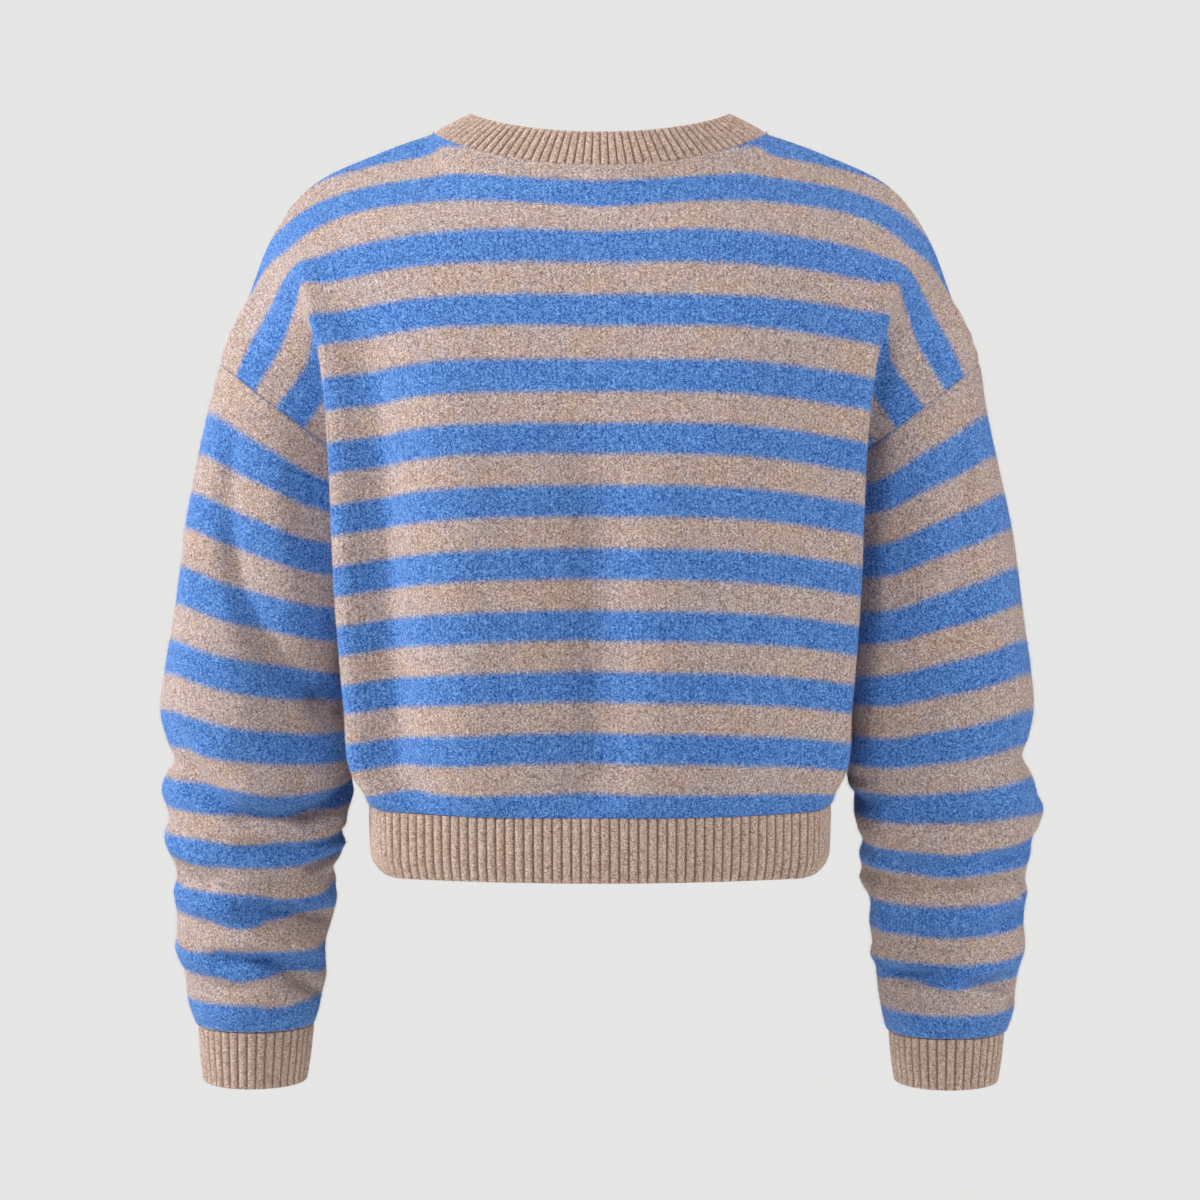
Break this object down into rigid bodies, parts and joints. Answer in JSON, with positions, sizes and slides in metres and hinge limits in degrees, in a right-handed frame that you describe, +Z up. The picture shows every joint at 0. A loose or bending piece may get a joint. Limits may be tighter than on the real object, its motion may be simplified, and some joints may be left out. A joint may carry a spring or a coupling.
{
  "type": "cropped knit sweater",
  "caption": "Cropped crew-neck sweater in its worn shape, hollow, with dropped shoulders, long sleeves and ribbed neckband, hem and cuffs.",
  "frame": {"origin": "midway between the two points where the neckband meets the shoulder seams, where the sweater rests on its wearer", "axes": "+Z up, -Y towards the sweater's front, +X towards the wearer's left"},
  "size_m": [0.6027, 0.2255, 0.6659],
  "materials": {
    "striped_knit": "brushed wool-blend knit in blue and taupe stripes",
    "taupe_rib": "taupe rib knit, lightly brushed"
  },
  "bodies": {
    "root": {"back_panel": "striped_knit", "front_panel": "striped_knit", "sleeve_left": "striped_knit", "sleeve_right": "striped_knit", "neck_rib": "taupe_rib", "hem_rib_back": "taupe_rib", "hem_rib_front": "taupe_rib", "cuff_rib_left": "taupe_rib", "cuff_rib_right": "taupe_rib"}
  },
  "joints": []
}
